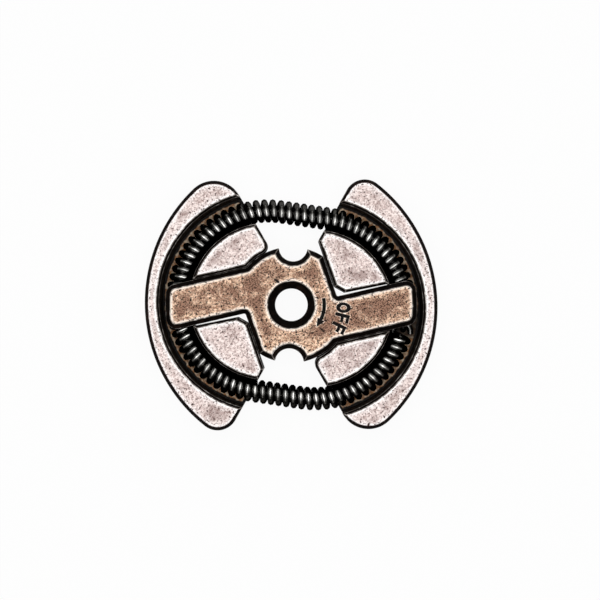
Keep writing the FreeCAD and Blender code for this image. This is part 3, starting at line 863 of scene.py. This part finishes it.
@dataclass
class SinteredPiece:
    """A piece pressed from iron powder: CAD shape, softened edges, ground faces and near-black walls that are
    partly painted shade.
    """

    node: str
    name: str
    body: str
    slot: str
    face: GroundFace
    side: int
    wear_and_glint_reach: float
    soft_edge: float = 0.12 * MM
    soft_segments: int = 2
    face_weight: int = 100
    sharp_from: float = math.radians(28)
    merge: float = 0.002 * MM
    flat_angle: float = math.radians(0.3)
    grid: float = 0.5 * MM
    edge_points: int = 5
    touch: float = 0.0001 * MM
    flat_enough: float = 0.995
    level_slack: float = 0.02 * MM
    wear_and_glint_depth: float = 1.0 * MM
    upright: float = 0.1
    slope_cost: float = 2.0
    obj: Object | None = field(default=None, init=False)

    GAP: ClassVar[str] = "rim_gap"
    FACING: ClassVar[str] = "facing_out"

    def build(self, shared: dict[Zone, Material]) -> Object:
        """Builds the piece.

        Args:
            shared: The materials that all the pieces have: those of every zone but the ground face.

        Returns:
            The finished piece.
        """
        self.copy_node()
        materials = {Zone.FACE: self.face.material(), **shared}
        for zone in Zone:
            self.obj.data.materials.append(materials[zone])
        for polygon in self.obj.data.polygons:
            polygon.material_index = self.zone_of(polygon)
        self.soften()
        for zone in (Zone.FACE, Zone.FLOOR):
            self.cut_grid(zone)
            self.measure_rims(zone)
        self.mark()
        pick(self.obj)
        bpy.ops.object.shade_smooth_by_angle(angle=self.sharp_from)
        apply_modifier(self.obj, "WEIGHTED_NORMAL", mode="FACE_AREA", weight=self.face_weight,
                       keep_sharp=True)
        self.measure_facing()
        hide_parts(self.node)
        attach(self.obj, self.body)
        return self.obj

    def copy_node(self) -> None:
        """Copies the CAD node's mesh, merges it and clears its flat faces of inner edges."""
        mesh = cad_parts[self.node].data.copy()
        mesh.materials.clear()
        mesh.name = self.name
        self.obj = bpy.data.objects.new(self.name, mesh)
        bpy.context.scene.collection.objects.link(self.obj)
        with editing(self.obj):
            bpy.ops.mesh.customdata_custom_splitnormals_clear()
            bpy.ops.mesh.remove_doubles(threshold=self.merge)
            bpy.ops.mesh.dissolve_limited(angle_limit=self.flat_angle)

    def on_level(self, polygon: MeshPolygon, level: float) -> bool:
        """Tells whether a face is flat and lies at a height in metres."""
        flat = abs(polygon.normal.z) > self.flat_enough
        return flat and abs(polygon.center.z - level) < self.level_slack

    def zone_of(self, polygon: MeshPolygon) -> Zone:
        """Finds a face's finish.

        Args:
            polygon: The face.

        Returns:
            The zone.
        """
        if self.on_level(polygon, THICKNESS) or self.on_level(polygon, 0):
            return Zone.FACE
        if abs((polygon.center.xy - self.drum_centre).length - FRICTION_RADIUS) < self.level_slack:
            return Zone.DRUM
        return Zone.FLOOR if polygon.normal.z > self.flat_enough else Zone.WALL

    @property
    def drum_centre(self) -> Vector:
        """Returns the middle of the arc that meets the drum, while the shoes are in."""
        return Vector((-SLIDE * self.side, 0))

    def soften(self) -> None:
        """Rounds the sharp edges a little and leaves them pale, partly worn bright and partly a painted
        glint, only as far out as that finish reaches.
        """
        apply_modifier(self.obj, "BEVEL", width=self.soft_edge, segments=self.soft_segments,
                       limit_method="ANGLE", angle_limit=self.sharp_from, use_clamp_overlap=False,
                       material=int(Zone.EDGE))
        for polygon in self.obj.data.polygons:
            if polygon.material_index == Zone.EDGE and not self.has_wear_and_glint(polygon):
                polygon.material_index = Zone.WALL

    def has_wear_and_glint(self, polygon: MeshPolygon) -> bool:
        """Tells whether a softened edge takes the pale finish, partly worn bright and partly a painted glint.

        Args:
            polygon: A face of the edge.

        Returns:
            True along the flat faces and down the upright corners, as far out as the pale finish reaches.
        """
        middle = GROOVE_CENTRE * self.side
        depth = min(polygon.center.z, THICKNESS - polygon.center.z)
        sheltered = depth > self.wear_and_glint_depth and abs(polygon.normal.z) > self.upright
        return not sheltered and (polygon.center.xy - middle.xy).length <= self.wear_and_glint_reach

    def cut_grid(self, zone: Zone) -> None:
        """Cuts a zone's flat faces into a fine grid, so that they can hold a measure.

        Args:
            zone: The zone.
        """
        points = [vertex.co.copy() for vertex in self.obj.data.vertices]
        self.obj.active_material_index = zone
        with editing(self.obj):
            for axis in (0, 1):
                normal = Vector((0, 0, 0))
                normal[axis] = 1
                place = min(point[axis] for point in points) + self.grid / 2
                while place < max(point[axis] for point in points):
                    bpy.ops.mesh.select_all(action="DESELECT")
                    bpy.ops.object.material_slot_select()
                    bpy.ops.mesh.bisect(plane_co=normal * place, plane_no=normal, threshold=self.touch)
                    place += self.grid

    def measure_rims(self, zone: Zone) -> None:
        """Notes how far each point of a zone is from the sharp edge that bounded it, in millimetres.

        Args:
            zone: The zone.
        """
        mesh = self.obj.data
        faces = [face for face in mesh.polygons if face.material_index == zone]
        points = {vertex for face in faces for vertex in face.vertices}
        inside = Counter(key for face in faces for key in face.edge_keys)
        edges = [key for key, count in inside.items() if count == 1]
        tree = KDTree(len(edges) * self.edge_points)
        for number, (first, second) in enumerate(edges):
            ends = mesh.vertices[first].co, mesh.vertices[second].co
            for step in range(self.edge_points):
                point = ends[0].lerp(ends[1], step / (self.edge_points - 1))
                tree.insert(point, number * self.edge_points + step)
        tree.balance()
        gap = mesh.attributes.get(self.GAP) or mesh.attributes.new(self.GAP, "FLOAT", "POINT")
        for vertex in points:
            gap.data[vertex].value = (tree.find(mesh.vertices[vertex].co)[2] + self.soft_edge) * PER_MM

    def measure_facing(self) -> None:
        """Notes how squarely each upright wall faces away from the bore, up to 1."""
        mesh = self.obj.data
        facing = mesh.attributes.new(self.FACING, "FLOAT", "CORNER")
        for loop, normal in zip(mesh.loops, mesh.corner_normals):
            outward = mesh.vertices[loop.vertex_index].co.xy.normalized()
            slope = self.slope_cost * abs(normal.vector.z)
            facing.data[loop.index].value = normal.vector.xy.dot(outward) - slope

    def mark(self) -> None:
        """Leaves the piece unmarked; a marked piece has its own method."""


@dataclass
class ClutchHub(SinteredPiece):
    """The screw-on hub, with its stamped word and arrow and its left-hand thread."""

    stamp_depth: float = 0.3 * MM
    word: str = "OFF"
    word_radius: float = 11.0 * MM
    letter_height: float = 3.1 * MM
    letter_widths: tuple[float, ...] = (2.2 * MM, 1.85 * MM, 1.85 * MM)
    letter_angles: tuple[float, ...] = (-3.0, -14.4, -26.0)
    letter_weights: tuple[float, ...] = (0.072, 0.04, 0.04)
    letter_steps: int = 6
    raw_depth: float = 1.0
    arrow_radius: float = 6.95 * MM
    arrow_stroke: float = 0.78 * MM
    arrow_from: float = 12.0
    arrow_to: float = -31.0
    arrow_steps: int = 14
    arrow_head: float = 1.0 * MM
    head_stretch: float = 1.25
    thread_pitch: float = 1.0 * MM
    thread_major: float = 4.0 * MM
    thread_inside: float = 3.42 * MM
    thread_from: float = 0.15 * MM
    thread_to: float = 10.6 * MM
    thread_flank: float = math.radians(30)
    thread_root: float = 1 / 16
    thread_steps: int = 36

    def mark(self) -> None:
        """Stamps the word and the arrow, and cuts the thread."""
        stamped = STAMPED_MARK.material()
        letters = zip(self.word, self.letter_widths, self.letter_weights, self.letter_angles)
        for letter, width, weight, angle in letters:
            cut(self.obj, self.letter(letter, width, weight, math.radians(angle) - PHOTO_TURN, stamped))
        cut(self.obj, self.arrow(stamped))
        cut(self.obj, self.thread(self.obj.data.materials[Zone.WALL]))

    def letter(self, text: str, width: float, weight: float, angle: float, stamped: Material) -> Object:
        """Makes the tool that stamps one letter, its top outwards.

        Args:
            text: The letter.
            width: Its width, in metres.
            weight: How far its outline is fattened, as a share of the text's size.
            angle: Its place round the bore, in radians.
            stamped: The material of the cut.

        Returns:
            The tool.
        """
        bpy.ops.object.text_add()
        tool = bpy.context.object
        tool.data.body = text
        tool.data.align_x = "CENTER"
        tool.data.extrude = self.raw_depth / 2
        tool.data.offset = weight
        tool.data.resolution_u = self.letter_steps
        tool = to_mesh(tool)
        low = Vector(map(min, zip(*(vertex.co for vertex in tool.data.vertices))))
        high = Vector(map(max, zip(*(vertex.co for vertex in tool.data.vertices))))
        size = high - low
        depth = 2 * self.stamp_depth
        fitted = Matrix.Diagonal((width / size.x, self.letter_height / size.y, depth / size.z, 1))
        centred = Matrix.Translation(-(low + high) / 2)
        outward = Vector((math.cos(angle), math.sin(angle), 0)) * self.word_radius
        placed = Matrix.Translation(outward + UP * THICKNESS)
        turned = Matrix.Rotation(angle - math.pi / 2, 4, "Z")
        tool.data.transform(placed @ turned @ fitted @ centred)
        return self.closed(tool, stamped)

    @staticmethod
    def closed(tool: Object, material: Material) -> Object:
        """Merges a tool's doubles, closes its ends, turns its faces outwards and gives it a material.

        Args:
            tool: The tool.
            material: Its material.

        Returns:
            The tool.
        """
        with editing(tool):
            bpy.ops.mesh.remove_doubles(threshold=MERGE)
            bpy.ops.mesh.fill_holes(sides=4)
            bpy.ops.mesh.select_all(action="SELECT")
            bpy.ops.mesh.normals_make_consistent(inside=False)
        tool.data.materials.clear()
        tool.data.materials.append(material)
        return tool

    def arrow(self, stamped: Material) -> Object:
        """Makes the tool that stamps the curved arrow.

        Args:
            stamped: The material of the cut.

        Returns:
            The tool.
        """
        start = math.radians(self.arrow_from) - PHOTO_TURN
        sweep = math.radians(self.arrow_to - self.arrow_from)
        bpy.ops.mesh.primitive_plane_add(size=1)
        shaft = bpy.context.object
        shaft.scale = (self.arrow_stroke, 2 * self.stamp_depth, 1)
        shaft.rotation_euler = (math.pi / 2, 0, 0)
        shaft.location = (self.arrow_radius, 0, THICKNESS)
        settle(shaft)
        shaft.data.transform(Matrix.Rotation(start, 4, "Z"))
        with editing(shaft):
            bpy.ops.mesh.spin(steps=self.arrow_steps, angle=-sweep, center=(0, 0, 0), axis=(0, 0, 1))
        bpy.ops.mesh.primitive_cylinder_add(vertices=3, radius=self.arrow_head, depth=2 * self.stamp_depth)
        head = bpy.context.object
        end = start + sweep
        head.location = Vector((math.cos(end), math.sin(end), 0)) * self.arrow_radius + UP * THICKNESS
        head.rotation_euler = (0, 0, end - math.pi)
        head.scale = (1.0, self.head_stretch, 1.0)
        settle(head)
        apply_modifier(shaft, "BOOLEAN", operation="UNION", object=head, solver="EXACT")
        bpy.data.objects.remove(head)
        return self.closed(shaft, stamped)

    def thread(self, black: Material) -> Object:
        """Makes the tap that cuts the left-hand thread.

        Args:
            black: The material of the cut.

        Returns:
            The tap.
        """
        root = self.thread_pitch * self.thread_root
        mouth = root + (self.thread_major - self.thread_inside) * math.tan(self.thread_flank)
        bpy.ops.mesh.primitive_plane_add(size=2)
        tap = bpy.context.object
        corners = [(self.thread_inside, -mouth), (self.thread_major, -root),
                   (self.thread_inside, mouth), (self.thread_major, root)]
        for vertex, (radius, height) in zip(tap.data.vertices, corners):
            vertex.co = (radius, 0, self.thread_to + height)
        turns = (self.thread_to - self.thread_from) / self.thread_pitch
        steps = round(self.thread_steps * turns)
        apply_modifier(tap, "SCREW", axis="Z", angle=FULL_TURN * turns, steps=steps, render_steps=steps,
                       screw_offset=self.thread_from - self.thread_to, use_merge_vertices=False)
        return self.closed(tap, black)


@dataclass
class SpringLoop:
    """The long coil spring: two half rounds in the shoes' grooves, two straight spans and its hooks."""

    centre: Vector = field(default_factory=GROOVE_CENTRE.copy)
    radius: float = 19.3 * MM
    height: float = 4.75 * MM
    wire: float = 1.3 * MM
    coil_diameter: float = 5.1 * MM
    turns: float = 83.75
    seam_angle: float = 30.0
    hook_bend: float = 0.7 * MM
    hook_gap: float = 0.2 * MM
    points_a_turn: int = 14
    hook_points: int = 8
    spline_order: int = 4
    spline_steps: int = 2
    wire_rounding: int = 2
    smooth_to: float = math.radians(50)
    parting_depth: float = 0.9
    stretch_reach: float = 8.1 * MM

    CREST: ClassVar[str] = "crest_turn"

    def __post_init__(self) -> None:
        """Works out the loop's lengths and the radius of the wire's middle line."""
        self.span = 2 * self.centre.length
        self.heading = math.atan2(self.centre.y, self.centre.x)
        self.half = math.pi * self.radius
        self.length = 2 * (self.half + self.span)
        self.coil = (self.coil_diameter - self.wire) / 2
        self.along = Vector((math.cos(PHOTO_TURN), -math.sin(PHOTO_TURN), 0))
        self.seam = (-math.radians(self.seam_angle) - self.heading + math.pi / 2) * self.radius
        self.start = self.seam + 2 * (self.hook_bend + self.coil) - self.wire - self.hook_gap

    def place(self, distance: float) -> tuple[Vector, Vector, Vector]:
        """Finds a point of the coil's axis.

        Args:
            distance: The way along the loop, in metres.

        Returns:
            The point, the direction ahead and the direction outwards.
        """
        distance %= self.length
        side = 1 if distance < self.half + self.span else -1
        distance -= 0 if side > 0 else self.half + self.span
        angle = self.heading - math.pi / 2 + min(distance / self.radius, math.pi)
        outward = Vector((math.cos(angle), math.sin(angle), 0)) * side
        ahead = Vector((-outward.y, outward.x, 0))
        point = self.centre * side + outward * self.radius + ahead * max(distance - self.half, 0)
        return point + UP * self.height, ahead, outward

    def hook(self, distance: float, onward: int, across_up: bool) -> list[Vector]:
        """Lays the half ring at one end of the coil.

        Args:
            distance: The coil's end along the loop, in metres.
            onward: 1 at the far end and -1 at the near one.
            across_up: True if the ring stands upright.

        Returns:
            The ring's points, away from the coil.
        """
        point, ahead, outward = self.place(distance)
        across = UP if across_up else -outward
        turns = [math.pi * step / self.hook_points for step in range(self.hook_points + 1)]
        return [point + ahead * onward * (self.hook_bend + self.coil * math.sin(turn))
                + across * self.coil * math.cos(turn) for turn in turns]

    def path(self) -> list[Vector]:
        """Lays the wire's middle line.

        Returns:
            The control points from one hook's end to the other's.
        """
        run = self.length - (self.start - self.seam)
        steps = round(self.turns * self.points_a_turn)
        # A cubic spline cuts inside its control points, so they stand out by this share
        swell = 3 / (2 + math.cos(FULL_TURN / self.points_a_turn))
        coils = []
        for step in range(steps + 1):
            point, _, outward = self.place(self.start + run * step / steps)
            phase = FULL_TURN * self.turns * step / steps - math.pi / 2
            coils.append(point + (outward * math.cos(phase) - UP * math.sin(phase)) * self.coil * swell)
        return self.hook(self.start, -1, True)[::-1] + coils + self.hook(self.seam, 1, False)

    def smooth_line(self) -> list[Vector]:
        """Draws the wire's middle line through its control points.

        Returns:
            The line's points in order.
        """
        line = draw_curve("NURBS", [self.path()])
        spline = line.data.splines[0]
        spline.order_u = self.spline_order
        spline.use_endpoint_u = True
        spline.resolution_u = self.spline_steps
        line = to_mesh(line)
        drawn = [vertex.co.copy() for vertex in line.data.vertices]
        bpy.data.objects.remove(line)
        return drawn

    def parting(self, line: list[Vector], side: int) -> int:
        """Finds where the wire passes the middle of a span, under its coil.

        Args:
            line: The wire's middle line.
            side: 1 for the upper span and -1 for the lower one.

        Returns:
            The number of the point.
        """
        below = self.height - self.parting_depth * self.coil
        under = [number for number, point in enumerate(line) if point.z < below and point.y * side > 0]
        return min(under, key=lambda number: abs(line[number].dot(self.along)))

    def wire_mesh(self, name: str, runs: list[list[Vector]]) -> Object:
        """Makes round wire along some runs of the middle line.

        Args:
            name: The piece's name.
            runs: The points of each run.

        Returns:
            The wire.
        """
        wire = draw_curve("POLY", runs)
        wire.name = name
        wire.data.bevel_depth = self.wire / 2
        wire.data.bevel_resolution = self.wire_rounding
        wire.data.use_fill_caps = True
        wire = to_mesh(wire)
        wire.data.name = name
        with editing(wire):
            bpy.ops.mesh.remove_doubles(threshold=MERGE)
            bpy.ops.mesh.normals_make_consistent(inside=False)
        pick(wire)
        bpy.ops.object.shade_smooth_by_angle(angle=self.smooth_to)
        return wire

    def measure_crest(self, wire: Object) -> None:
        """Notes how far round its coil each point lies, in degrees inwards from the coil's top.

        All the hooks' points take one turn, which carries a little of the painted highlight.

        Args:
            wire: The wire.
        """
        turn = wire.data.attributes.new(self.CREST, "FLOAT", "POINT")
        middle = self.centre.normalized()
        joint, ahead, _ = self.place((self.seam + self.start) / 2)
        for vertex in wire.data.vertices:
            flat = Vector((vertex.co.x, vertex.co.y, 0))
            share = max(-self.centre.length, min(self.centre.length, flat.dot(middle)))
            outward = (flat - middle * share).length - self.radius
            off = vertex.co - joint
            hooked = off.length < self.coil_diameter and abs(off.dot(ahead)) < (self.start - self.seam) / 2
            inward = math.degrees(math.atan2(-outward, vertex.co.z - self.height))
            turn.data[vertex.index].value = SPRING_WIRE.hook_highlight_turn if hooked else inward

    def build(self) -> list[Object]:
        """Builds the spring as two halves, split under its coils in the middle of each span.

        Returns:
            The two halves.
        """
        material = SPRING_WIRE.material()
        line = self.smooth_line()
        upper = self.parting(line, 1)
        lower = self.parting(line, -1)
        right = self.wire_mesh("spring_right_half", [line[:upper + 1], line[lower:]])
        left = self.wire_mesh("spring_left_half", [line[upper:lower + 1]])
        for half, body, side in ((right, "shoe_right", 1), (left, "shoe_left", -1)):
            half.data.materials.clear()
            half.data.materials.append(material)
            self.measure_crest(half)
            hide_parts("spring")
            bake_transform(half)
        return [right, left]


@dataclass
class Studio:
    """A pale floor, a soft lamp, a pale sky and the camera straight above the marked face."""

    camera_height: float = 400 * MM
    frame_width: float = 126 * MM
    sensor: float = 36.0
    clip: tuple[float, float] = (0.01, 20.0)
    aim: tuple[float, float] = (2.04 * MM, 0.59 * MM)
    floor_size: float = 6.0
    floor_drop: float = 0.02 * MM
    floor_tone: float = 0.85
    floor_roughness: float = 0.9
    floor_specular: float = 0.5
    floor_glow: float = 0.94
    lamp_side: float = 0.45
    lamp_height: float = 0.6
    lamp_power: float = 2.7
    zenith: float = 0.05
    horizon: float = 0.55
    horizon_top: float = math.radians(38)
    zenith_from: float = math.radians(54)
    head_reach: float = 0.7
    foot_and_head: tuple[float, float] = (0.45, 1.55)

    def build(self) -> None:
        """Builds the studio."""
        self.camera()
        self.floor()
        self.lamp()
        self.world()
        bpy.context.scene.view_settings.view_transform = "Standard"

    def camera(self) -> None:
        """Sets the camera over the face, turned as in the photograph."""
        data = bpy.data.cameras.new("camera")
        data.sensor_width = self.sensor
        data.lens = self.sensor * self.camera_height / self.frame_width
        data.clip_start, data.clip_end = self.clip
        camera = bpy.data.objects.new("camera", data)
        camera.location = (*self.aim, THICKNESS + self.camera_height)
        camera.rotation_euler = (0, 0, -PHOTO_TURN)
        bpy.context.scene.collection.objects.link(camera)
        bpy.context.scene.camera = camera

    def lamp(self) -> None:
        """Hangs a square lamp that looks straight down."""
        data = bpy.data.lights.new("soft_lamp", "AREA")
        data.size = self.lamp_side
        data.energy = self.lamp_power
        lamp = bpy.data.objects.new("soft_lamp", data)
        lamp.location = (0, 0, self.lamp_height)
        bpy.context.scene.collection.objects.link(lamp)

    def floor(self) -> None:
        """Lays the pale floor, which shows nearly white and keeps a faint shadow."""
        bpy.ops.object.select_all(action="DESELECT")
        bpy.ops.mesh.primitive_plane_add(size=self.floor_size, location=(0, 0, -self.floor_drop))
        floor = bpy.context.object
        floor.name = "floor"
        pale = Finish("pale_floor", self.floor_roughness, metallic=0.0, specular=self.floor_specular)
        material, wiring, principled = pale.shader()
        wiring.feed(principled, {"Base Color": opaque((self.floor_tone,) * 3)})
        glow = wiring.node("ShaderNodeEmission", {"Color": opaque(WHITE), "Strength": 1.0}).outputs[0]
        share = wiring.math("MULTIPLY", self.seen(wiring), self.floor_glow)
        mixed = wiring.node("ShaderNodeMixShader", {0: share, 1: principled.outputs[0], 2: glow}).outputs[0]
        wiring.feed(material.node_tree.nodes["Material Output"], {"Surface": mixed})
        floor.data.materials.append(material)

    @staticmethod
    def seen(wiring: Wiring) -> Socket:
        """Tells the rays that see a background from those that light the object.

        Args:
            wiring: The material's wiring.

        Returns:
            The socket that is 1 for camera, glossy and transmission rays.
        """
        ray = wiring.node("ShaderNodeLightPath").outputs
        glossy = wiring.math("MAXIMUM", ray["Is Glossy Ray"], ray["Is Transmission Ray"])
        return wiring.math("MAXIMUM", ray["Is Camera Ray"], glossy)

    def world(self) -> None:
        """Makes the sky that fills the shadows, pale low down towards the photograph's head, dark above."""
        world = bpy.data.worlds.new("studio")
        bpy.context.scene.world = world
        world.use_nodes = True
        wiring = Wiring(world.node_tree)
        direction = wiring.node("ShaderNodeTexCoord").outputs["Generated"]
        height = wiring.split(direction)["Z"]
        low, high = math.sin(self.horizon_top), math.sin(self.zenith_from)
        glow = wiring.spread(height, low, high, self.horizon, self.zenith)
        ahead = wiring.photo_height(direction)
        share = wiring.spread(ahead, -self.head_reach, self.head_reach, *self.foot_and_head)
        strength = wiring.math("MULTIPLY", glow, share)
        background = world.node_tree.nodes["Background"]
        wiring.feed(background, {"Color": opaque(WHITE), "Strength": strength})


def main() -> None:
    """Builds the studio, the hub, the shoes and the spring, and reports each piece."""
    logging.basicConfig(level=logging.INFO, format="%(name)s: %(message)s")
    Studio().build()
    finishes = {
        Zone.WALL: DARK_WALL_AND_SHADE, Zone.FLOOR: GROOVE_FLOOR, Zone.EDGE: WORN_EDGE_AND_GLINT, Zone.DRUM: DRUM_FACE,
    }
    shared = {zone: finish.material() for zone, finish in finishes.items()}
    sintered = [ClutchHub("hub", "clutch_hub", "hub", "hub_metal", HUB_FACE, 0, HUB_WEAR_AND_GLINT)]
    shoes = (("shoe_right", "friction_shoe_right", 1), ("shoe_left", "friction_shoe_left", -1))
    for node, name, side in shoes:
        sintered.append(SinteredPiece(node, name, node, "shoe_metal", SHOE_FACE, side, SHOE_WEAR_AND_GLINT))
    pieces = [piece.build(shared) for piece in sintered]
    pieces += SpringLoop().build()
    for piece in pieces:
        LOG.info("%s has %d faces", piece.name, len(piece.data.polygons))


if __name__ == "__main__":
    main()
